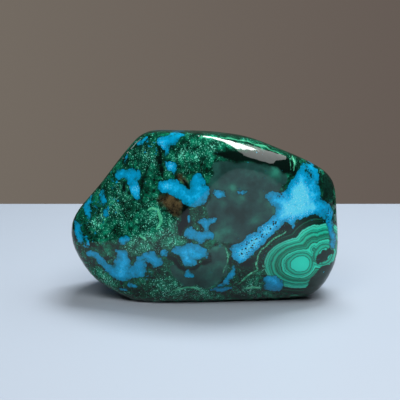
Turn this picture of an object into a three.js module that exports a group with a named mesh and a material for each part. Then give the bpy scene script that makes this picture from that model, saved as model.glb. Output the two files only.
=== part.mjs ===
// A hand-sized freeform of chrysocolla in malachite: one solid stone, ground on broad faces, then tumbled
// until every edge between them is round, with one flat face to rest on.
import * as THREE from "three";
import { mergeVertices } from "three/addons/utils/BufferGeometryUtils.js";

// Driving dimensions, in millimetres. The best face looks along -Y, +X is to its right, and +Z is up.
const HEART_HEIGHT = 18.5; // the heart is the point that every ground face is measured from
const EDGE_POWER = 30; // a higher power leaves a tighter edge where two ground faces meet
const CUTS = 17; // each face of the starting icosahedron becomes (CUTS + 1) squared triangles

// The ground faces: the way each one looks, and how far it lies from the heart.
const GROUND_FACES = [
  // the outline, from the top, clockwise as seen from the front
  { name: "crown", looks: [0.02, 0.06, 1], away: 24.2 },
  { name: "long right slope", looks: [0.38, 0.08, 0.92], away: 25.6 },
  { name: "right shoulder", looks: [0.72, 0.05, 0.7], away: 32.8 },
  { name: "right side", looks: [1, 0.1, 0.02], away: 34 },
  { name: "right heel", looks: [0.8, 0, -0.6], away: 33.2 },
  { name: "right sole", looks: [0.42, 0, -0.9], away: 29.8 },
  { name: "base", looks: [0.02, 0, -1], away: 18.9 },
  { name: "left sole", looks: [-0.45, -0.05, -0.89], away: 25.4 },
  { name: "left heel", looks: [-0.87, -0.05, -0.49], away: 32 },
  { name: "left nose", looks: [-1, -0.05, 0.12], away: 34.6 },
  { name: "left slope", looks: [-0.76, 0.05, 0.65], away: 27.6 },
  // the front
  { name: "front", looks: [0.05, -1, -0.17], away: 19.1 },
  { name: "front left", looks: [-0.36, -0.9, 0.22], away: 21.6 },
  { name: "front right", looks: [0.6, -0.79, 0.1], away: 28 },
  { name: "front belly", looks: [-0.26, -0.92, -0.3], away: 21.2 },
  { name: "front sole", looks: [0.06, -0.74, -0.66], away: 21.1 },
  { name: "front crown", looks: [0.28, -0.55, 0.79], away: 30.2 },
  // the back
  { name: "back", looks: [-0.06, 1, 0.04], away: 20 },
  { name: "back left", looks: [-0.58, 0.8, 0.12], away: 25.5 },
  { name: "back right", looks: [0.6, 0.79, -0.08], away: 26.5 },
  { name: "back crown", looks: [0.02, 0.62, 0.78], away: 24 },
  { name: "back belly", looks: [0.05, 0.74, -0.66], away: 22.5 },
];

// The shallow hollows that the softer seams wear to in the tumbler: the way to the middle of each one from
// the heart, how deep it is, and how far it spreads, in radians.
const HOLLOWS = [
  { name: "left slope hollow", toward: [-0.92, -0.1, 0.38], deep: 0.8, spread: 0.24 },
  { name: "right side hollow", toward: [1, -0.1, 0.22], deep: 0.4, spread: 0.2 },
  { name: "crown hollow", toward: [0.42, 0.25, 0.9], deep: 0.5, spread: 0.3 },
  { name: "back hollow", toward: [-0.45, 1, 0.15], deep: 0.9, spread: 0.4 },
  { name: "back right hollow", toward: [0.8, 0.9, 0.25], deep: 0.6, spread: 0.3 },
];

// A point's distance from the heart along a direction. The faces are joined by a power sum, which is flat in
// the middle of a face and rounds over towards the next one, and the hollows are then taken off.
function reach(direction) {
  const sum = GROUND_FACES.reduce((total, face) => {
    const facing = new THREE.Vector3(...face.looks).normalize().dot(direction);
    return total + Math.max(facing / face.away, 0) ** EDGE_POWER;
  }, 0);
  const worn = HOLLOWS.reduce((total, hollow) => {
    const angle = new THREE.Vector3(...hollow.toward).angleTo(direction);
    return total + hollow.deep * Math.exp(-((angle / hollow.spread) ** 2));
  }, 0);
  return sum ** (-1 / EDGE_POWER) - worn;
}

// The stone's surface: an icosahedron's sphere pushed out to the ground faces, and cut flat where it rests.
function stoneGeometry() {
  const geometry = new THREE.IcosahedronGeometry(1, CUTS);
  geometry.deleteAttribute("normal");
  geometry.deleteAttribute("uv");
  const merged = mergeVertices(geometry, 1e-5);
  const points = merged.getAttribute("position");
  const direction = new THREE.Vector3();
  for (let i = 0; i < points.count; i++) {
    direction.fromBufferAttribute(points, i).normalize();
    const toSurface = reach(direction);
    const toFloor = direction.z < 0 ? HEART_HEIGHT / -direction.z : Infinity;
    const rests = toSurface >= toFloor;
    const point = direction.multiplyScalar(rests ? toFloor : toSurface);
    points.setXYZ(i, point.x, point.y, rests ? 0 : point.z + HEART_HEIGHT);
  }
  merged.computeBoundingBox();
  const middle = merged.boundingBox.getCenter(new THREE.Vector3());
  return merged.translate(-middle.x, -middle.y, 0);
}

const malachiteGreen = new THREE.MeshStandardMaterial({ color: 0x0f5a48, roughness: 0.12, metalness: 0 });

const specimen = new THREE.Group();
const stone = new THREE.Mesh(stoneGeometry(), malachiteGreen);
stone.name = "polished_stone";
specimen.add(stone);

export default specimen;
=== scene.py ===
# %% [markdown]
# # A polished stone of chrysocolla and malachite
#
# The object is one hand-sized stone. It was ground on broad faces and tumbled until it shone. Two copper
# minerals grew through each other in it: sky-blue chrysocolla and green malachite. The CAD model holds the
# stone's shape and size, so this script only refines that surface and gives it its minerals.
#
# Everything is in metres, in the frame of the CAD model: the stone rests at z = 0 and its best face looks
# along -Y. Sizes on the stone are written in millimetres, because that is how a stone is measured.

# %% Load the stone
import math
import bmesh
import bpy
import numpy as np
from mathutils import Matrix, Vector, noise


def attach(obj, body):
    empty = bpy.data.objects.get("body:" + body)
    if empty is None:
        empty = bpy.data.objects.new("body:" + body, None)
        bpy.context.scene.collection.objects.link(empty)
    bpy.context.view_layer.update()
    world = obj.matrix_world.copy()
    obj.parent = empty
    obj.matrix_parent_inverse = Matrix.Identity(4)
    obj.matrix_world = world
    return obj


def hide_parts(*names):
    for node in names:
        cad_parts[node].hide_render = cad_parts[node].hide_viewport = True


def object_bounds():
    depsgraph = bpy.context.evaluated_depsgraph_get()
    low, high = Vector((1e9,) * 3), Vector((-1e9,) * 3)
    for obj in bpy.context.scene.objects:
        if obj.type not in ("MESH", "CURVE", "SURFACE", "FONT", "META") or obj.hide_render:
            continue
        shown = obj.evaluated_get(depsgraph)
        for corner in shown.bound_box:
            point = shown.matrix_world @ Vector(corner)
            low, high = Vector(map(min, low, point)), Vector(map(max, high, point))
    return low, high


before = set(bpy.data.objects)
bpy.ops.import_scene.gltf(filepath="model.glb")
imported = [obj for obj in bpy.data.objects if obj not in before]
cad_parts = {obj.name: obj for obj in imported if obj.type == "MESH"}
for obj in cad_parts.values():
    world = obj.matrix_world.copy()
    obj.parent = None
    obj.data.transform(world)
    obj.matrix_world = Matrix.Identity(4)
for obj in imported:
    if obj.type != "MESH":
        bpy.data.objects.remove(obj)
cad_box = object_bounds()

MM = 0.001
stone_size = [high - low for low, high in zip(*cad_box)]
print("the stone measures", [round(side / MM, 1) for side in stone_size], "mm")

# %% [markdown]
# ## The view
#
# A portrait lens a quarter of a metre away flattens the stone a little and keeps its faces true. The camera
# looks slightly down, as a person does at a stone on a table. A wider lens close up would swell the nose of
# the stone, and one far away would need a very long lens.

# %% Camera
VIEW_HEIGHT = math.radians(9.5)
VIEW_DISTANCE = 248 * MM
LENS = 85
looked_at = Vector((-1, 0, 24.6)) * MM

camera_data = bpy.data.cameras.new("portrait_lens")
camera_data.lens = LENS
camera = bpy.data.objects.new("camera", camera_data)
bpy.context.scene.collection.objects.link(camera)
towards_camera = Vector((0, -math.cos(VIEW_HEIGHT), math.sin(VIEW_HEIGHT)))
camera.location = looked_at + towards_camera * VIEW_DISTANCE
camera.rotation_euler = (math.radians(90) - VIEW_HEIGHT, 0, 0)
bpy.context.scene.camera = camera
print("the camera stands", round(camera.location.z / MM), "mm above the table")

# %% [markdown]
# ## Colour
#
# Colours are written as the hex values that a colour picker shows. The renderer works with light, which is
# linear, so one function turns the first into the second. The view transform is the plain one, because the
# blue of chrysocolla is stronger than a filmic transform would let it be.

# %% Hex to linear colour
bpy.context.scene.view_settings.view_transform = "Standard"


def colour(hex_value):
    """The linear colour, with alpha, of an sRGB hex value such as "2fb5e8"."""
    shares = [int(hex_value[i:i + 2], 16) / 255 for i in (0, 2, 4)]
    linear = [s / 12.92 if s <= 0.04045 else ((s + 0.055) / 1.055) ** 2.4 for s in shares]
    return (*linear, 1)


print("sky blue is", [round(part, 3) for part in colour("2fb5e8")])

# %% [markdown]
# ## A helper for nodes
#
# A material is a tree of nodes. This one function adds a node, fills in its inputs by name or number, sets
# its options, and hands back the output that the next node needs.

# %% Node helper


def put(tree, kind, inputs=(), out=0, **options):
    """Adds a node, sets its options, and links or fills its inputs. Returns one of its outputs."""
    made = tree.nodes.new("ShaderNode" + kind)
    for name, value in options.items():
        setattr(made, name, value)
    for place, value in dict(inputs).items():
        if isinstance(value, bpy.types.NodeSocket):
            tree.links.new(value, made.inputs[place])
        else:
            made.inputs[place].default_value = value
    return made.outputs[out]


# %% [markdown]
# ## The table and the room
#
# A polished stone shows the room that it stands in, so the room is part of its look. A pale table top lies
# under it, with its far edge a little way behind. A bare plane would end in a line as sharp as a knife, so
# the table is a cube scaled to a slab, with its edges bevelled. The wall is only colour at a distance, so it
# is the world's background.

# %% Table
TABLE_LEFT_RIGHT = (-700 * MM, 700 * MM)
TABLE_FRONT_BACK = (-900 * MM, 142 * MM)
TABLE_THICKNESS = 30 * MM
TABLE_EDGE = 5 * MM

mesh = bpy.data.meshes.new("table")
shape = bmesh.new()
bmesh.ops.create_cube(shape, size=1)
width = TABLE_LEFT_RIGHT[1] - TABLE_LEFT_RIGHT[0]
depth = TABLE_FRONT_BACK[1] - TABLE_FRONT_BACK[0]
bmesh.ops.scale(shape, vec=(width, depth, TABLE_THICKNESS), verts=shape.verts)
middle = Vector((0, sum(TABLE_FRONT_BACK) / 2, -TABLE_THICKNESS / 2))
bmesh.ops.translate(shape, vec=middle, verts=shape.verts)
bmesh.ops.bevel(
    shape, geom=shape.edges[:], affect="EDGES", offset=TABLE_EDGE, segments=6, profile=0.5, material=-1
)
for face in shape.faces:
    face.smooth = True
shape.to_mesh(mesh)
shape.free()
table = bpy.data.objects.new("table", mesh)
bpy.context.scene.collection.objects.link(table)
print("the table ends", round(TABLE_FRONT_BACK[1] / MM), "mm behind the middle of the stone")

# %% Table finish
# Matt laminate in a pale, slightly blue white. It takes the stone's soft contact shadow.
laminate = bpy.data.materials.new("matt_white_laminate")
laminate.use_nodes = True
skin = laminate.node_tree.nodes["Principled BSDF"]
skin.inputs["Base Color"].default_value = colour("a0acbb")
skin.inputs["Roughness"].default_value = 0.55
table.data.materials.append(laminate)
print("the table is finished in", laminate.name)

# %% Room
# The eye sees a warm grey wall, a little lighter on its left. The stone reflects the dark side of the room,
# so only the camera's own rays see the wall's colour.
world = bpy.data.worlds.new("room")
world.use_nodes = True
bpy.context.scene.world = world
tree = world.node_tree
tree.nodes.clear()
direction = put(tree, "TexCoord", out="Generated")
across = put(tree, "SeparateXYZ", {0: direction}, out="X")
side = put(tree, "MapRange", {0: across, 1: -0.25, 2: 0.25})
wall = put(tree, "Mix", {0: side, 6: colour("746c63"), 7: colour("645a54")}, out=2, data_type="RGBA")
is_seen = put(tree, "LightPath", out="Is Camera Ray")
seen = put(tree, "Mix", {0: is_seen, 6: colour("3a3836"), 7: wall}, out=2, data_type="RGBA")
background = put(tree, "Background", {"Color": seen, "Strength": 1})
end = tree.nodes.new("ShaderNodeOutputWorld")
tree.links.new(background, end.inputs["Surface"])
print("the room is made of", len(tree.nodes), "nodes")

# %% [markdown]
# ## Lights
#
# The overhead box shows as the white flash on the bevel, and the wider, dimmer ceiling box as the grey one
# under it. A panel above the camera lights the face, and a faint strip draws the left rim. Below the boxes
# the room is dark, and that is what makes the face look deep.

# %% Soft boxes


def soft_box(name, place, aim, size, watts, tint):
    """A rectangular soft box at a place in millimetres, turned towards another."""
    data = bpy.data.lights.new(name, "AREA")
    data.shape = "RECTANGLE"
    data.size, data.size_y = size[0] * MM, size[1] * MM
    data.energy = watts
    data.color = colour(tint)[:3]
    lamp = bpy.data.objects.new(name, data)
    lamp.location = Vector(place) * MM
    lamp.rotation_euler = (Vector(aim) - Vector(place)).to_track_quat("-Z", "Y").to_euler()
    bpy.context.scene.collection.objects.link(lamp)
    return lamp


soft_box("overhead_box", (65, 160, 485), (0, 0, 20), (270, 185), 2.7, "ffffff")
soft_box("ceiling_box", (290, 70, 510), (0, 0, 20), (480, 300), 1.5, "f2f6f4")
soft_box("rim_strip", (-420, 160, 330), (0, 0, 20), (60, 110), 0.1, "f4f8ff")
face_panel = soft_box("face_panel", (-20, -380, 470), (0, 0, 20), (520, 320), 3, "fffaf4")
face_panel.visible_glossy = False # it lights the face, but the polish does not show it

# %% [markdown]
# ## The surface
#
# The CAD stone is a net of about six thousand flat triangles. Polish shows every one of them, so the visible
# stone is a copy that is merged, then subdivided twice. A tumbler never leaves a true plane, so the ground
# faces get long, shallow waves along their normals. The waves fade out at the resting face, which stays flat.

# %% Fine surface
WAVE_LENGTH = 11 # mm, from one swell to the next
WAVE_HEIGHT = 0.10 # mm
WAVE_SINK = 0.35 # of that height, by which the waves sink, so that the stone does not grow past its CAD size
WAVE_FADE = 3 # mm above the resting face, over which the waves fade out
LEVELS = 2
SMOOTH_PASSES = 8 # takes out the last ripple of the triangles
REST_BAND = 0.3 # mm, the height up to which the resting face is left alone

cad_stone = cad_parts["polished_stone"]
mesh = cad_stone.data.copy()
shape = bmesh.new()
shape.from_mesh(mesh)
bmesh.ops.remove_doubles(shape, verts=shape.verts, dist=0.001 * MM)
shape.to_mesh(mesh)
shape.free()
rough = bpy.data.objects.new("rough_stone", mesh)
bpy.context.scene.collection.objects.link(rough)
refine = rough.modifiers.new("refine", "SUBSURF")
refine.levels = refine.render_levels = LEVELS
bpy.context.view_layer.update()
fine_mesh = bpy.data.meshes.new_from_object(rough.evaluated_get(bpy.context.evaluated_depsgraph_get()))
bpy.data.objects.remove(rough)
fine_mesh.materials.clear()
shape = bmesh.new()
shape.from_mesh(fine_mesh)
above_rest = [vertex for vertex in shape.verts if vertex.co.z > REST_BAND * MM]
for _ in range(SMOOTH_PASSES):
    bmesh.ops.smooth_vert(
        shape, verts=above_rest, factor=0.5, use_axis_x=True, use_axis_y=True, use_axis_z=True
    )
shape.to_mesh(fine_mesh)
shape.free()
stone = bpy.data.objects.new("chrysocolla_stone", fine_mesh)
bpy.context.scene.collection.objects.link(stone)
print(len(fine_mesh.vertices), "points in the fine surface")

# %% Waves of the polish
points = np.zeros(len(fine_mesh.vertices) * 3)
fine_mesh.vertices.foreach_get("co", points)
points = points.reshape(-1, 3) / MM
outward = np.zeros(points.size)
fine_mesh.vertices.foreach_get("normal", outward)
outward = outward.reshape(-1, 3)
swell = np.array([noise.noise(Vector(point) / WAVE_LENGTH) for point in points]) - WAVE_SINK
free = np.clip(points[:, 2] / WAVE_FADE, 0, 1)
points += outward * (swell * free * WAVE_HEIGHT)[:, None]
fine_mesh.vertices.foreach_set("co", (points * MM).ravel())
fine_mesh.polygons.foreach_set("use_smooth", [True] * len(fine_mesh.polygons))
fine_mesh.update()
print("the waves are up to", round(float(np.ptp(swell)) * WAVE_HEIGHT, 3), "mm high")

# %% [markdown]
# ## The minerals, as a map
#
# On the real stone a blue patch is the cut through a vein. The main veins of the best face are placed as
# strokes: each one is a chain of places (x, z, half width) in millimetres, seen from the front and read off a
# ruler. A stroke gives every point of the surface a depth: how many millimetres it lies inside, or outside if
# negative. Depth is smooth, so it can be stored on the points of the mesh, and the material can still cut a
# crisp, rough edge through it. Noise alone would make a stone of this kind, but not this stone.

# %% Depth inside strokes
MERGE = 0.3 # mm, how softly strokes that touch flow into one
THIN_MERGE = 0.06 # mm, the same for hairlines
SWAY, SWAY_LENGTH = 0.8, 2.6 # mm, how far and how often the veins sway off their strokes

noise.seed_set(31)
wander = np.array([noise.noise_vector(Vector(point) / SWAY_LENGTH) for point in points])
swayed = points + wander * SWAY
print("the veins sway by up to", round(float(np.abs(wander).max()) * SWAY, 2), "mm")


def inside(points, strokes, merge=MERGE):
    """The depth of each point inside any of the strokes, in millimetres. Negative is outside."""
    total = np.zeros(len(points))
    seen = points[:, [0, 2]]
    for stroke in strokes:
        for start, end in zip(stroke, stroke[1:] or stroke):
            a, b = np.array(start), np.array(end)
            run = b[:2] - a[:2]
            share = np.clip((seen - a[:2]) @ run / max(run @ run, 1e-9), 0, 1)
            away = np.linalg.norm(seen - a[:2] - share[:, None] * run, axis=1)
            depth = a[2] + share * (b[2] - a[2]) - away
            total += np.exp(np.clip(depth, -9, 9) / merge)
    return merge * np.log(total + 1e-30)


def ring(x, z, radius, half_width, start=0, end=360, steps=14):
    """A stroke round a circle, from one angle to another, in degrees."""
    angles = [math.radians(start + (end - start) * step / steps) for step in range(steps + 1)]
    return [(x + radius * math.cos(a), z + radius * math.sin(a), half_width) for a in angles]


# %% [markdown]
# ### Chrysocolla
#
# Chrysocolla filled the last gaps in the stone. On the left it lies in small crooked blobs, and on the right
# in one broad wedge that runs out in a tail. Strokes that overlap flow into one patch. A second list holds
# the places where dark specks crowd in the blue.

# %% Chrysocolla strokes
chrysocolla_strokes = [
    # top left
    [(-10.2, 41.2, 1.4), (-8.4, 41.6, 1.1), (-7, 42.7, 0.8), (-5.4, 42.9, 0.5)],
    [(-8.7, 39.9, 0.5), (-9.1, 38.8, 0.4), (-9.7, 38.2, 0.3)],
    [(-8.7, 35.8, 1.2), (-7.7, 35.8, 1.3), (-7.1, 34.4, 0.5)],
    [(-14.2, 42, 0.5), (-16, 40.4, 0.4)],
    [(-18.8, 38.2, 0.3), (-19.5, 36, 0.25)],
    # the bird on the left
    [(-21.4, 32.6, 0.8), (-20.2, 33.4, 1.1), (-18.6, 33.6, 1)],
    [(-18.4, 33.2, 1), (-17.6, 31.2, 1.2), (-17, 29.2, 1.3), (-16.6, 27.9, 0.8)],
    [(-18, 33.6, 0.8), (-16.2, 33.4, 0.7), (-15.9, 32.6, 0.4)],
    # the Y
    [(-10, 30.4, 1.5), (-8.2, 31, 1.7), (-5.8, 29.7, 1.5), (-3.4, 28.2, 1.7), (-1.3, 28.9, 1.8)],
    [(-3.3, 28, 1.5), (-3.3, 26.8, 0.5)],
    [(-1.3, 28.9, 1.8), (-0.9, 30.6, 1.6), (-1.8, 32.2, 1.5), (-2.2, 33.2, 1.1)],
    [(3, 29.3, 1), (4.2, 29.8, 1)],
    [(9.2, 30, 0.5), (9.9, 30, 0.5)],
    # the left edge
    [(-28.9, 26.4, 0.4), (-29.6, 24.2, 0.7), (-29.3, 22.8, 0.7), (-29, 21.4, 0.4)],
    [(-32.2, 20.2, 0.7), (-31.7, 18, 0.9), (-31.1, 16, 0.7)],
    [(-29.6, 17.4, 0.4), (-29.3, 15.2, 0.3)],
    [(-28.4, 13.2, 1), (-27.2, 12.4, 0.7), (-25.8, 11.2, 0.8), (-24.6, 10, 0.6), (-23.2, 9.2, 0.8)],
    [(-25.5, 28.2, 0.5), (-25.2, 26.4, 0.4), (-25.3, 25.4, 0.4)],
    [(-24.7, 23.6, 0.5), (-24.4, 22.6, 0.4)],
    [(-20.4, 17.3, 0.7), (-19.4, 17.3, 0.7), (-19.9, 16.6, 0.6)],
    # the lower left
    [(-21.8, 14.2, 0.4), (-20.2, 13, 1.4), (-20.2, 11, 1.8), (-20.6, 8.6, 2.4), (-20.4, 7.4, 1.8)],
    [(-23.2, 8.8, 1), (-22, 7.8, 1.6)],
    [(-18.8, 8.4, 1.2), (-16.6, 8.8, 1.3)],
    [(-16.2, 11, 1.2), (-16.3, 9, 1.6)],
    [(-15.7, 12.4, 0.9), (-13.6, 13.2, 1.4), (-12, 12, 1.5), (-11, 11.8, 1)],
    [(-9.7, 14.3, 1.1)],
    [(-18, 4.8, 0.8), (-17, 4.8, 0.6)],
    [(-21.2, 3.6, 0.4), (-19.6, 3.3, 0.4)],
    # the T
    [(-6.4, 14.8, 1.2), (-4.6, 15, 1.6), (-2.1, 14.8, 1.7), (-0.5, 14.2, 1.4)],
    [(-3.9, 13.6, 2), (-3.5, 12.2, 1.5), (-3.5, 11.4, 0.6)],
    [(-4.1, 8.7, 0.9), (-3.7, 8.8, 0.9)],
    # the K
    [(-0.2, 22.7, 0.9), (1, 22.7, 0.9), (2.2, 22.7, 0.8)],
    [(0.2, 22, 0.9), (0.5, 20, 0.7)],
    [(-3.5, 20.4, 0.7), (-3.2, 19.2, 1.2), (-1.2, 18.9, 1), (0.4, 18.9, 1.1), (1.6, 18.8, 0.8)],
    [(-3.8, 23.6, 0.3), (-3.7, 22.2, 0.3)],
    [(-1, 18.4, 0.6), (-0.8, 17.7, 0.4)],
    # the wedge and its tail
    [(24, 34.2, 1), (24.1, 32.8, 1.6), (23.4, 30.6, 2.3), (23.4, 28.2, 3.8), (24, 26, 2.8)],
    [(24.8, 35.6, 0.5), (26.4, 34.9, 0.7), (27.5, 33.6, 0.9), (27.7, 32.2, 1)],
    [(27.7, 32.2, 1), (27, 30.4, 1.2), (27.2, 28, 1.9)],
    [(14.2, 28.9, 0.3), (16.4, 28.6, 1.1), (18.8, 27.4, 2), (20.6, 26.4, 2.4)],
    [(19.4, 24.4, 1.9), (17.6, 22.2, 1.5), (15.2, 20, 1.5), (12.8, 17.8, 1.7), (10.8, 15.6, 1.9)],
    [(10.8, 15.6, 1.9), (9.4, 13.8, 1.6), (8.7, 12.6, 0.9)],
    [(7, 15.6, 0.6), (8.4, 15.2, 1.2), (7.8, 13.8, 0.6)],
    [(21.4, 22.4, 1), (21.6, 20.8, 0.3)],
    [(20, 25, 2.4), (24, 25.2, 2.4), (27.2, 25.2, 2), (29.6, 24.4, 1.7), (31.4, 22.6, 1.2)],
    [(31.4, 22.4, 1.1), (32.2, 20, 0.8), (32.6, 16.8, 0.7), (32.8, 14.6, 0.4)],
    # under the tail
    [(7.6, 10.6, 0.3), (6.9, 9, 0.5), (6.3, 7.6, 0.6), (5.6, 6.6, 0.4), (3.8, 5.8, 0.3)],
    [(1.6, 3.8, 0.3), (4.4, 4.4, 0.6), (6.2, 4.8, 0.4)],
    [(15.7, 7.2, 1), (17.2, 6.4, 1.7), (18.8, 5.2, 1.3)],
    [(15.6, 5, 1), (17.2, 4.4, 1)],
]
speck_strokes = [
    [(12.6, 17.8, 0.6), (11, 16.2, 0.9), (9.8, 14.6, 0.8)],
    [(18, 22.8, 0.5), (15, 19.8, 0.5), (13.4, 18.2, 0.4)],
    [(18.4, 29.6, 0.8), (19.6, 31, 0.6)],
    [(25.6, 34.4, 0.5), (26.2, 33, 0.4)],
    [(30.8, 23, 0.5), (31.8, 21, 0.4)],
]
print(len(chrysocolla_strokes), "strokes of chrysocolla")

# %% [markdown]
# ### Lines, seams and dark patches
#
# Thin mint-green lines mark where a layer of malachite stopped growing. Black seams are cracks that filled
# with dark copper oxide. Both are strokes too, only thin ones. Broader strokes place the dark matrix at the
# right end, a painted dark reflection of the dark room in the band under the crown, two patches of brown
# rust, and the deep velvet green by the fan.

# %% Lines, seams and dark patches
mint_strokes = [
    [(-1, 42.9, 0.05), (6, 42.5, 0.1), (9.5, 41.9, 0.12), (13, 40.9, 0.12)],
    [(13, 40.9, 0.12), (17, 39.3, 0.12), (18.6, 38.5, 0.05)],
    [(-13.6, 24.7, 0.15), (-12.4, 25.4, 0.3), (-11.2, 25.1, 0.3), (-10.7, 23.4, 0.35), (-10.8, 21.8, 0.3)],
    [(-10.8, 21.8, 0.3), (-11.6, 20.3, 0.15)],
    ring(-8.5, 22.4, 0.5, 0.05, 0, 360, 8),
    [(-15.7, 18.6, 0.25), (-14.4, 17.6, 0.2)],
    [(-17.1, 22.2, 0.15), (-16.6, 21.6, 0.1)],
    [(4.2, 16.6, 0.05), (5.2, 15.4, 0.12), (6, 13.4, 0.15), (5.9, 11.6, 0.12), (5, 9.8, 0.1), (4.4, 8.4, 0)],
    [(-8, 4, 0.1), (-6.4, 4.6, 0.2), (-4.4, 5.1, 0.2), (-2.6, 5, 0.2), (-1, 4.2, 0.1)],
    [(20.2, 19.8, 0.15), (18.4, 18.8, 0.15), (16, 17, 0.18), (14.4, 15.4, 0.15), (13.2, 13.6, 0.12)],
    [(13.2, 13.6, 0.12), (12.8, 11.2, 0.25), (13.2, 9.9, 0.15)],
    [(13.2, 9.9, 0.15), (11.6, 9, 0.2), (10.3, 7.8, 0.18), (9.2, 6.6, 0.12), (7.8, 5.4, 0.05)],
    [(10, 4.6, 0.15), (12.2, 4.7, 0.4), (14, 4.6, 0.2)],
    [(21.8, 37.8, 0.15), (22.2, 36.4, 0.2), (21.9, 34.6, 0.08)],
    [(21, 37.4, 0.08), (21.2, 34.6, 0.05)],
]
seam_strokes = [
    [(-11.2, 39.8, 0.3), (-10.8, 37.4, 0.5), (-10.6, 34.4, 0.5), (-10.2, 32.8, 0.2)],
    [(-5.2, 27, 0.3), (-4.9, 25.6, 0.9), (-4.9, 23.6, 1.1), (-5.1, 21.6, 1), (-5.8, 19.8, 0.5)],
    [(-14.8, 33, 0.3), (-15, 31.6, 0.3), (-15.4, 29.4, 0.2)],
    [(-14.2, 29.2, 0.2), (-12.2, 29.6, 0.3)],
    [(-19.8, 31, 0.3), (-19.4, 29, 0.5), (-18.6, 27.4, 0.2)],
    [(-8.2, 13, 0.3), (-6.6, 12, 0.5), (-5.7, 10.8, 0.5), (-4.2, 9.9, 0.4), (-2.2, 10.3, 0.4)],
    [(-2.2, 10.3, 0.4), (-0.4, 11.5, 0.5), (1.2, 12.8, 0.4), (1.4, 14.4, 0.25)],
    [(-5, 32.4, 0.3), (-3.9, 31.4, 0.7), (-3.2, 30.8, 0.6)],
    [(-6.8, 34.2, 0.3), (-7, 32.6, 0.2)],
    [(-26.6, 22, 0.3), (-25.2, 21.4, 0.4)],
    [(-28.6, 18.4, 0.3), (-28, 17.4, 0.3)],
    [(-26.4, 10, 0.2), (-24.2, 8.8, 0.3)],
    [(9.2, 10.8, 0.5), (10.8, 11.4, 0.9), (12, 13, 0.4)],
    [(17, 20.4, 0.3), (19, 21, 0.6), (20.8, 20.6, 0.4)],
]
dark_strokes = [
    [(30.8, 32.6, 0.8), (31.4, 29.6, 1.6), (31, 26.8, 1.3), (29.8, 25.9, 0.5)],
    [(28.8, 32.8, 0.5), (28.6, 30.4, 0.6)],
    [(28.8, 11.6, 0.9), (30, 12.8, 1.3), (32, 13.2, 1.1)],
    [(33, 9, 1.6), (30.4, 7.6, 2.3), (28.8, 5.4, 2.4), (27, 3, 1.8)],
]
# painted dark reflection: a black-green band under the crown that stands in for the dark room the polish
# reflects there
painted_dark_reflection_strokes = [
    [(3, 39, 0.6), (7.6, 38.6, 1.3), (13, 38.2, 1.4), (17, 37.4, 1.6), (20, 36, 1.7), (22, 35, 0.9)],
]
rust_strokes = [
    [(-10.2, 27.2, 1), (-8.4, 27.2, 1.8), (-7, 26.2, 1.7), (-6.4, 24.8, 1)],
    [(-5.8, 32.8, 0.8), (-4.6, 32, 0.6)],
]
velvet_strokes = [
    [(20.6, 19, 1.6), (17.4, 17.2, 2.2), (14.6, 14.4, 1.8), (13, 12, 1.2)],
    [(11, 9.8, 1.4), (12.6, 11, 1.2)],
]
print(len(mint_strokes), "mint lines and", len(seam_strokes), "seams")

# %% [markdown]
# ### The smoky zone, partly painted reflection, and the soft balls
#
# The middle of the face is smoky: partly a dull grey-green mixture of silica and copper minerals, and partly
# a painted reflection of the grey room and the pale table in the polish. What has no edge at all is placed by
# soft balls (x, z, radius): the dust of tiny blue spots, the clouds in the smoke, the palest parts of the
# blue, and the plumes of green fibres.

# %% Smoky zone, partly painted reflection, and soft balls
# painted reflection: besides its own dull grey-green, the smoky zone stands in for the room and table seen in
# the polish
smoke_and_painted_reflection_strokes = [
    [(4, 35.6, 2), (9, 34.4, 2.6), (14, 34.4, 2.6), (18.4, 33.4, 2)],
    [(3.6, 31.4, 3), (10, 30.6, 4), (16, 31.4, 2.8)],
    [(4.4, 26, 3.8), (10, 25, 4.8), (14, 25, 3.6)],
    [(4.8, 20.4, 3.2), (9, 20, 3.2)],
    [(3, 14, 2.6), (3.4, 10.6, 2.8), (1, 8, 2.8), (-4.4, 7.6, 2.2), (-7, 10, 1.4)],
]
dust_balls = [
    (-24.8, 25, 3.6), (-29.5, 22.5, 3), (-14, 40.5, 2.6), (-22.5, 31.5, 2), (-28.5, 16, 3), (-14, 9, 3),
    (9, 30, 1.6),
]
cloud_balls = [
    (8.9, 28.3, 1.6), (6.9, 31.4, 1.5), (3.4, 35.6, 2.6), (12, 22.8, 1.2), (16.8, 34.6, 1.8),
    (0.6, 26.4, 1.6), (4.8, 26.8, 1.2), (13.6, 29.4, 1.2),
]
pale_balls = [
    (23.8, 29.4, 3.8), (23, 26.2, 2.6), (26, 24.6, 2.4), (20.6, 24.2, 2.4), (15.4, 20.2, 2.2),
    (12.2, 17.2, 2.2), (9.6, 14.2, 2), (-17, 29.4, 1.5), (-10.3, 41, 1.2), (-8.1, 35.8, 1.2), (-9, 30.8, 1.2),
]
plume_balls = [
    (-14.3, 37.6, 3.6), (-4.4, 38.4, 3.6), (-22.8, 25.5, 3.8), (-11.4, 23, 4.6), (-27, 20.5, 3.2),
    (-16, 17, 3.8), (2, 40.2, 2.6), (-20, 30, 2), (-9, 5, 4.5), (0, 3.5, 3.5), (11, 4.5, 3), (-24, 6, 3.5),
    (-8, 17.5, 2.6),
]


def balls(points, places):
    """A soft ball round each place: 1 in the middle, fading to 0. Balls that overlap add up, to 1 at most."""
    total = np.zeros(len(points))
    for x, z, radius in places:
        away = np.hypot(points[:, 0] - x, points[:, 2] - z)
        total += np.exp(-(away / radius) ** 2)
    return np.clip(total, 0, 1)


print(len(plume_balls), "plumes of green fibres")

# %% [markdown]
# ### The malachite fan
#
# Malachite grows in layers round a few starting points, like the rings of a tree, so the bands at the lower
# right are rings round three hearts, and where two sets of rings meet they make a cusp. One number is stored:
# the distance from the nearest heart. A colour ramp along that number later makes every band.

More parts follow.
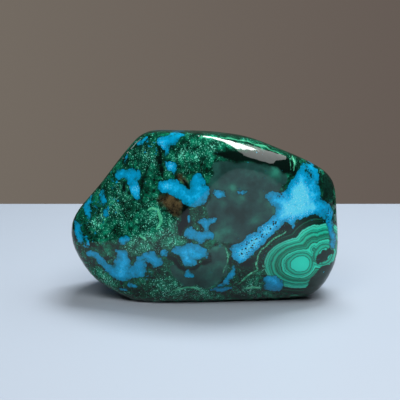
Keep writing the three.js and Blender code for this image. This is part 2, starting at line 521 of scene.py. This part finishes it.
# %% Growth of the fan
# x, z, how much later the heart started, and how the bands narrow upwards from it
FAN_HEARTS = [(24.2, 11.2, 0, 1), (30.4, 12.6, 0.6, 0.8), (27.4, 14.6, 2.6, 0.72)]
FAN_STRETCH = 0.74 # the bands are broader towards the left, where the fan had room
fan_strokes = [
    [(24.3, 11, 9)],
    [(27.4, 14.6, 8.6)],
    [(18.5, 12.5, 3.6), (22, 6.5, 3.4), (23.4, 3.6, 2)],
]


def fan_growth(points):
    """The distance of each point from the nearest heart of the fan, in millimetres."""
    nearest = np.full(len(points), 99.0)
    for x, z, late, upwards in FAN_HEARTS:
        across = points[:, 0] - x
        across = np.where(across < 0, across * FAN_STRETCH, across)
        rise = points[:, 2] - z
        rise = np.where(rise > 0, rise * upwards, rise)
        nearest = np.minimum(nearest, np.hypot(across, rise) + late)
    return nearest


print(len(FAN_HEARTS), "hearts of the fan")

# %% [markdown]
# ### Store the map
#
# Each number is stored once for every point of the surface, where the material can read it. An image would
# need the stone unwrapped, and its seams would show. The map is only good for the best face: where the
# surface turns away, a stroke would smear over it, so there the wild minerals take over.

# %% Store the map on the stone
FACE_FROM, FACE_TO = 2, -6 # mm along Y, over which the map takes over from the wild one
MINT_ENDS = -12 # mm along Y, where the mint lines stop, so that none spreads over the flat top
NO_DEPTH = -9 # mm, a depth that is far outside any layer


def store(name, values):
    """Keeps one number for each point of the stone, for the material to read."""
    attribute = fine_mesh.attributes.new(name, "FLOAT", "POINT")
    attribute.data.foreach_set("value", np.asarray(values, np.float32))
    print(f"{name}: {values.min():.1f} to {values.max():.1f}")


on_face = np.clip((FACE_FROM - points[:, 1]) / (FACE_FROM - FACE_TO), 0, 1)
store("face", on_face)
store("chrysocolla", inside(swayed, chrysocolla_strokes))
over_the_top = np.clip(points[:, 1] - MINT_ENDS, 0, 20)
store("mint", inside(points + wander * SWAY / 2, mint_strokes, THIN_MERGE) - over_the_top)
store("speck", np.where(on_face > 0.5, inside(swayed, speck_strokes), NO_DEPTH))
store("seam", inside(swayed, seam_strokes, THIN_MERGE))
store("dark", inside(swayed, dark_strokes))
store("painted_dark_reflection", inside(swayed, painted_dark_reflection_strokes))
store("rust", inside(swayed, rust_strokes))
store("velvet", inside(swayed, velvet_strokes))
store("smoke_and_painted_reflection", inside(swayed, smoke_and_painted_reflection_strokes))
store("fan", inside(swayed, fan_strokes))
store("growth", fan_growth(points))
store("plume", balls(points, plume_balls) * on_face)
store("dust", balls(points, dust_balls) * on_face)
store("cloud", balls(points, cloud_balls) * on_face)
store("pale", balls(points, pale_balls) * on_face)

# %% [markdown]
# ## The material
#
# One material makes all the minerals, because on the stone they meet without a joint. It is built in layers,
# each laid over the ones before. A layer has a depth in millimetres, either from the map or, where the map
# ends, from a wild noise: a noise of 0 to 1 is stretched to tens of millimetres and shifted, so that it
# crosses zero at the layer's edge. A little fine noise is added to the depth, so that the edge is as ragged
# as a real one.

# %% Places and rough edges
polished = bpy.data.materials.new("polished_chrysocolla_in_malachite")
polished.use_nodes = True
tree = polished.node_tree
skin = tree.nodes["Principled BSDF"]
in_metres = put(tree, "TexCoord", out="Object")
place = put(tree, "VectorMath", {0: in_metres, "Scale": 1 / MM}, operation="SCALE")
face = put(tree, "Attribute", out="Fac", attribute_name="face")

RAGGED = 1.3 # mm, the size of the crooked teeth of an edge
GRAIN = 0.3 # mm, the size of the finest grains
CLOUD = 6 # mm, the size of the drifts of light and dark
COARSE_PUSH, FINE_PUSH = 4, 1.5 # how far each noise moves an edge, for teeth of 1 mm
coarse = put(tree, "TexNoise", {"Vector": place, "Scale": 1 / RAGGED, "Detail": 3, "Roughness": 0.6})
grain = put(tree, "TexNoise", {"Vector": place, "Scale": 1 / GRAIN, "Detail": 2, "Roughness": 0.6})
cloud = put(tree, "TexNoise", {"Vector": place, "Scale": 1 / CLOUD, "Detail": 4, "Roughness": 0.55})


def mapped(name, wild, teeth):
    """The depth of a layer: mapped on the face, wild elsewhere, with teeth of a height in millimetres."""
    known = put(tree, "Attribute", out="Fac", attribute_name=name)
    depth = put(tree, "Mix", {0: face, 2: wild, 3: known})
    uneven = put(tree, "Math", {0: coarse, 1: 0.5}, operation="SUBTRACT")
    depth = put(tree, "Math", {0: uneven, 1: teeth * COARSE_PUSH, 2: depth}, operation="MULTIPLY_ADD")
    fine = put(tree, "Math", {0: grain, 1: 0.5}, operation="SUBTRACT")
    return put(tree, "Math", {0: fine, 1: teeth * FINE_PUSH, 2: depth}, operation="MULTIPLY_ADD")


def cut(depth, softness, start=0):
    """A mask of what is deeper than the start, with an edge as soft as a number of millimetres."""
    edge = {0: depth, 1: start - softness, 2: start + softness}
    return put(tree, "MapRange", edge, interpolation_type="SMOOTHSTEP")


def cover(mask, below, above):
    """One colour or layer laid over another through a mask."""
    return put(tree, "Mix", {0: mask, 6: below, 7: above}, out=2, data_type="RGBA")


def ramp(value, stops):
    """Colours along a value from 0 to 1: each stop is a place and a hex colour."""
    made = tree.nodes.new("ShaderNodeValToRGB")
    tree.links.new(value, made.inputs["Fac"])
    steps = made.color_ramp.elements
    while len(steps) < len(stops):
        steps.new(1)
    for step, (position, hex_value) in zip(steps, stops):
        step.position = position
        step.color = colour(hex_value)
    return made.outputs["Color"]


print("every edge has teeth of", RAGGED, "mm and grains of", GRAIN, "mm")

# %% [markdown]
# ### Velvet malachite
#
# Most of the green is fibrous malachite, grown in balls with dark valleys between them. The fibres are too
# fine to see one by one, but where their ends meet the polish they sparkle, and that sparkle is painted into
# the colour as pale flecks, thickest in the plumes. Between the plumes the green is darker.

# %% Velvet malachite
CLUMP = 2.2 # mm, the size of a clump of fibres
BALL = 4.6 # mm, from one ball of fibres to the next, with a dark valley between them
BEND = 5 # mm, from one bend to the next in whatever grew crooked
VALLEY_BEND = 4 # mm, how far the valleys bend
clumps = put(tree, "TexNoise", {"Vector": place, "Scale": 1 / CLUMP, "Detail": 6, "Roughness": 0.78})
velvet = ramp(clumps, [
    (0.34, "010f0a"), (0.43, "003a29"), (0.51, "006e50"), (0.6, "049c74"), (0.72, "34cca2"),
])
shade = ramp(cloud, [(0.36, "7f9a92"), (0.58, "ffffff")])
stone_colour = put(
    tree, "Mix", {0: 1, 6: velvet, 7: shade}, out=2, data_type="RGBA", blend_type="MULTIPLY"
)
plumes = put(tree, "Attribute", out="Fac", attribute_name="plume")
glow = put(tree, "Math", {0: plumes, 1: 0.22}, operation="MULTIPLY")
glow = put(tree, "Math", {0: glow, 1: clumps}, operation="MULTIPLY")
stone_colour = cover(glow, stone_colour, colour("22c09c"))
between = put(tree, "Math", {0: 1, 1: plumes}, operation="SUBTRACT")
between = put(tree, "Math", {0: between, 1: face}, operation="MULTIPLY")
between = put(tree, "Math", {0: between, 1: 0.4}, operation="MULTIPLY")
stone_colour = cover(between, stone_colour, colour("011a12"))
bend = put(tree, "TexNoise", {"Vector": place, "Scale": 1 / BEND, "Detail": 3}, out="Color")
wavy = put(tree, "VectorMath", {0: place, 1: bend}, operation="ADD")
valleys = put(tree, "VectorMath", {0: bend, "Scale": VALLEY_BEND}, operation="SCALE")
valleys = put(tree, "VectorMath", {0: place, 1: valleys}, operation="ADD")
valleys = put(
    tree, "TexVoronoi", {"Vector": valleys, "Scale": 1 / BALL}, out="Distance", feature="DISTANCE_TO_EDGE"
)
valleys = put(
    tree, "MapRange", {0: valleys, 1: 0, 2: 0.13, 3: 0.68, 4: 0}, interpolation_type="SMOOTHSTEP"
)
stone_colour = cover(valleys, stone_colour, colour("01170f"))
# painted sparkle: pale flecks stand in for the glints where the fibre ends meet the polish
bright = put(tree, "Math", {0: plumes, 1: 0.1, 2: -0.055}, operation="MULTIPLY_ADD")
bright = put(tree, "Math", {0: clumps, 1: 0.5, 2: bright}, operation="MULTIPLY_ADD")
painted_sparkle = put(tree, "Math", {0: grain, 1: bright}, operation="ADD")
painted_sparkle = cut(painted_sparkle, 0.06, 0.895)
stone_colour = cover(painted_sparkle, stone_colour, colour("7cecd0"))
print("the green so far is made of", len(tree.nodes), "nodes")

# %% [markdown]
# ### Smoke with painted reflection, a painted dark band, rust and deep velvet
#
# These lie over the green. The smoke has an edge all round, puffs where its clouds are, and shows up here and
# there on the far side too; on the best face its grey-green is partly a painted reflection of the room and
# the table. The band under the crown is a painted dark reflection of the dark room. That band, the rust and
# the deep velvet were only seen on the best face, so elsewhere their depth stays far outside.

# %% Smoky zone with painted reflection, painted dark band, rust and deep velvet
# painted reflection: the smoky grey-green partly stands in for the room and table reflected in the polish
wild_smoke_and_painted_reflection = put(tree, "Math", {0: cloud, 1: 24, 2: -15}, operation="MULTIPLY_ADD")
smoke_and_painted_reflection_depth = mapped("smoke_and_painted_reflection", wild_smoke_and_painted_reflection, 0.5)
puffs = put(tree, "Attribute", out="Fac", attribute_name="cloud")
puffs = put(tree, "Math", {0: puffs, 1: 0.16, 2: cloud}, operation="MULTIPLY_ADD")
smoke_and_painted_reflection = ramp(puffs, [(0.35, "1a3330"), (0.5, "234844"), (0.6, "265c52"), (0.74, "2f8470")])
stone_colour = cover(cut(smoke_and_painted_reflection_depth, 0.35), stone_colour, smoke_and_painted_reflection)
# painted dark reflection: the band under the crown is painted near black, for the dark room reflected in it
painted_dark_reflection_depth = mapped("painted_dark_reflection", NO_DEPTH, 0.2)
stone_colour = cover(cut(painted_dark_reflection_depth, 0.6), stone_colour, colour("01110d"))
rust_depth = mapped("rust", NO_DEPTH, 0.5)
rust = ramp(clumps, [(0.4, "17150e"), (0.5, "3a3322"), (0.62, "5c4f34")])
stone_colour = cover(cut(rust_depth, 0.8), stone_colour, rust)
velvet_depth = mapped("velvet", NO_DEPTH, 0.3)
deep_velvet = ramp(grain, [(0.4, "01110c"), (0.6, "04382a"), (0.72, "1a7a5a")])
stone_colour = cover(cut(velvet_depth, 0.4), stone_colour, deep_velvet)
print("with the smoke, rust and deep velvet it is", len(tree.nodes), "nodes")

# %% [markdown]
# ### Banded malachite
#
# The ramp gives each band its colour by its distance in millimetres from the heart. Fine dark hairlines run
# between the bands, except in the plain middle, and the fan dims towards its left end. Away from the best
# face, wild eyes of the same bands take the fan's place.

# %% Banded malachite
EYES = 11 # mm, from one wild eye of malachite to the next
LAST_RING = 14 # mm, the end of the colour ramp
HAIR = 0.55 # mm, from one hairline between the bands to the next
HAIRS_FROM, HAIRS_FULL = 2, 2.6 # mm from the heart, over which the hairlines come in
FAN_DIM, FAN_BRIGHT = 14, 22 # mm along X, between which the fan dims towards its left end
eyes = put(tree, "TexVoronoi", {"Vector": wavy, "Scale": 1 / EYES, "Randomness": 0.9}, out="Distance")
eyes = put(tree, "Math", {0: eyes, 1: EYES}, operation="MULTIPLY")
growth = put(tree, "Attribute", out="Fac", attribute_name="growth")
growth = put(tree, "Mix", {0: face, 2: eyes, 3: growth})
uneven = put(tree, "Math", {0: coarse, 1: 0.5}, operation="SUBTRACT")
growth = put(tree, "Math", {0: uneven, 1: 0.6, 2: growth}, operation="MULTIPLY_ADD")
growth = put(tree, "Math", {0: growth, 1: LAST_RING}, operation="DIVIDE")
rings = [
    (0, "1edcc0"), (1.95, "1cd4b8"), (2.1, "045a48"), (2.3, "0cba9a"), (2.8, "08aa8c"), (2.95, "034e3f"),
    (3.1, "10c4a4"), (3.7, "28d8b6"), (3.85, "044c3c"), (4.05, "049e7e"), (4.6, "04886c"), (4.75, "024334"),
    (4.95, "0ab08e"), (5.5, "22ceac"), (5.65, "04463a"), (5.85, "0eb494"), (6.3, "28d2b0"), (6.8, "4ce2c4"),
    (7, "065846"), (7.2, "022a20"), (7.7, "04382b"), (7.9, "0d5c46"), (8.1, "02241b"), (9.15, "04382b"),
    (9.3, "064a38"), (9.4, "3ccf9e"), (9.52, "3ccf9e"), (9.65, "04301f"), (10.8, "06402f"), (11, "1d8a66"),
    (11.2, "043024"), (14, "04261c"),
]
banded = ramp(growth, [(mm / LAST_RING, hex_value) for mm, hex_value in rings])
hairs = put(tree, "Math", {0: growth, 1: LAST_RING / HAIR}, operation="MULTIPLY")
hairs = put(tree, "Math", {0: hairs, 1: 0.5}, operation="PINGPONG")
hairs = ramp(hairs, [(0.05, "7d9a92"), (0.22, "ffffff")])
outside = {0: growth, 1: HAIRS_FROM / LAST_RING, 2: HAIRS_FULL / LAST_RING, 4: 0.75}
outside = put(tree, "MapRange", outside)
banded = put(
    tree, "Mix", {0: outside, 6: banded, 7: hairs}, out=2, data_type="RGBA", blend_type="MULTIPLY"
)
from_left = put(tree, "SeparateXYZ", {0: place}, out="X")
from_left = put(tree, "MapRange", {0: from_left, 1: FAN_DIM, 2: FAN_BRIGHT, 3: 0.5, 4: 0})
from_left = put(tree, "Math", {0: from_left, 1: face}, operation="MULTIPLY")
banded = cover(from_left, banded, colour("034a38"))
wild_bands = put(tree, "Math", {0: cloud, 1: -34, 2: 15.6}, operation="MULTIPLY_ADD")
fan_depth = mapped("fan", wild_bands, 0.25)
stone_colour = cover(cut(fan_depth, 0.12), stone_colour, banded)
print(len(rings), "stops make the bands")

# %% [markdown]
# ### Dark matrix, seams and mint lines
#
# The dark matrix is the rock that the minerals grew in. The seams are cracks, so away from the best face
# they follow the walls between the cells of a Voronoi pattern, which join up as real cracks do: a plain noise
# would leave loose ends. The mint lines belong to the best face alone, and are cut thin and nearly sharp.

# %% Dark matrix, seams and mint lines
CELL = 13 # mm, from one wild seam to the next
dark_depth = mapped("dark", NO_DEPTH, 0.3)
matrix = ramp(clumps, [(0.42, "031c15"), (0.62, "08382c")])
stone_colour = cover(cut(dark_depth, 0.15), stone_colour, matrix)
wild_seam = put(
    tree, "TexVoronoi", {"Vector": wavy, "Scale": 1 / CELL}, out="Distance", feature="DISTANCE_TO_EDGE"
)
wild_seam = put(tree, "Math", {0: wild_seam, 1: -CELL, 2: 0.25}, operation="MULTIPLY_ADD")
seam_depth = mapped("seam", wild_seam, 0.25)
stone_colour = cover(cut(seam_depth, 0.45), stone_colour, colour("010e0b"))
mint_depth = mapped("mint", NO_DEPTH, 0.08)
mint = ramp(clumps, [(0.4, "1f9a70"), (0.62, "6fe0b4")])
stone_colour = cover(cut(mint_depth, 0.14), stone_colour, mint)
print("with its lines and seams the stone is", len(tree.nodes), "nodes")

# %% [markdown]
# ### Chrysocolla
#
# The blue goes on last. It is dark at its edge, inside a thin dark halo, and paler the deeper in, with a
# mottle, a frost of white grains in its palest parts, and small dark pits that crowd along the specks.

# %% Chrysocolla
PATCH = 9 # mm, the size of a wild patch of blue
PATCH_DEPTH = 2.3 # mm, the deepest that a wild patch may be, so that it does not turn too pale
SPOT = 1.1 # mm, the size of a spot of blue dust
MOTTLE = 1.3 # mm, the size of the mottle
PIT = 0.62 # mm, from one dark pit to the next
PALE_DEPTH = 3.2 # mm inside its edge, where the blue is at its palest
wild_blue = put(tree, "TexNoise", {"Vector": wavy, "Scale": 1 / PATCH, "Detail": 2, "Distortion": 0.6})
wild_blue = put(tree, "Math", {0: wild_blue, 1: 34, 2: -19.4}, operation="MULTIPLY_ADD")
wild_blue = put(tree, "Math", {0: wild_blue, 1: PATCH_DEPTH}, operation="MINIMUM")
blue_depth = mapped("chrysocolla", wild_blue, 0.3)
dust = put(tree, "Attribute", out="Fac", attribute_name="dust")
spots = put(tree, "TexNoise", {"Vector": place, "Scale": 1 / SPOT, "Detail": 3, "Roughness": 0.6})
dusty = put(tree, "Math", {0: dust, 1: 0.12, 2: spots}, operation="MULTIPLY_ADD")
dusty = put(tree, "Math", {0: dusty, 1: 6, 2: -4.3}, operation="MULTIPLY_ADD")
blue_depth = put(tree, "Math", {0: blue_depth, 1: dusty}, operation="MAXIMUM")
halo = cut(blue_depth, 0.16, -0.12)
stone_colour = cover(halo, stone_colour, colour("022a22"))
deep_in = put(tree, "Math", {0: blue_depth, 1: 1 / PALE_DEPTH}, operation="MULTIPLY")
mottle = put(tree, "TexNoise", {"Vector": place, "Scale": 1 / MOTTLE, "Detail": 6, "Roughness": 0.75})
mottled = put(tree, "Math", {0: mottle, 1: 0.5}, operation="SUBTRACT")
deep_in = put(tree, "Math", {0: mottled, 1: 1.15, 2: deep_in}, operation="MULTIPLY_ADD")
pale = put(tree, "Attribute", out="Fac", attribute_name="pale")
deep_in = put(tree, "Math", {0: pale, 1: 0.36, 2: deep_in}, operation="MULTIPLY_ADD")
blue = ramp(deep_in, [
    (0, "046c7e"), (0.04, "0480a0"), (0.12, "008cb6"), (0.36, "009ccf"), (0.62, "14bef4"), (1, "5adcfc"),
])
frost = put(tree, "Math", {0: pale, 1: 0.16, 2: grain}, operation="MULTIPLY_ADD")
frost = put(tree, "Math", {0: cut(frost, 0.06, 0.76), 1: 0.55}, operation="MULTIPLY")
blue = cover(frost, blue, colour("baf4ff"))
crowd = put(tree, "Attribute", out="Fac", attribute_name="speck")
crowd = put(tree, "MapRange", {0: crowd, 1: -1, 2: 0.4, 3: 0.1, 4: 0.4})
pits = put(tree, "TexVoronoi", {"Vector": place, "Scale": 1 / PIT}, out="Distance")
pits = put(tree, "Math", {0: crowd, 1: pits}, operation="SUBTRACT")
pits = cut(pits, 0.04)
stone_colour = cover(cut(blue_depth, 0.07), stone_colour, cover(pits, blue, colour("03303c")))
tree.links.new(stone_colour, skin.inputs["Base Color"])
skin.inputs["Roughness"].default_value = 0.05
skin.inputs["IOR"].default_value = 1.5
fine_mesh.materials.append(polished)
print("the whole material is", len(tree.nodes), "nodes")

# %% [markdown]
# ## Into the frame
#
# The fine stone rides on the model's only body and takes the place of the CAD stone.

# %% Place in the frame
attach(stone, "root")
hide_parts("polished_stone")
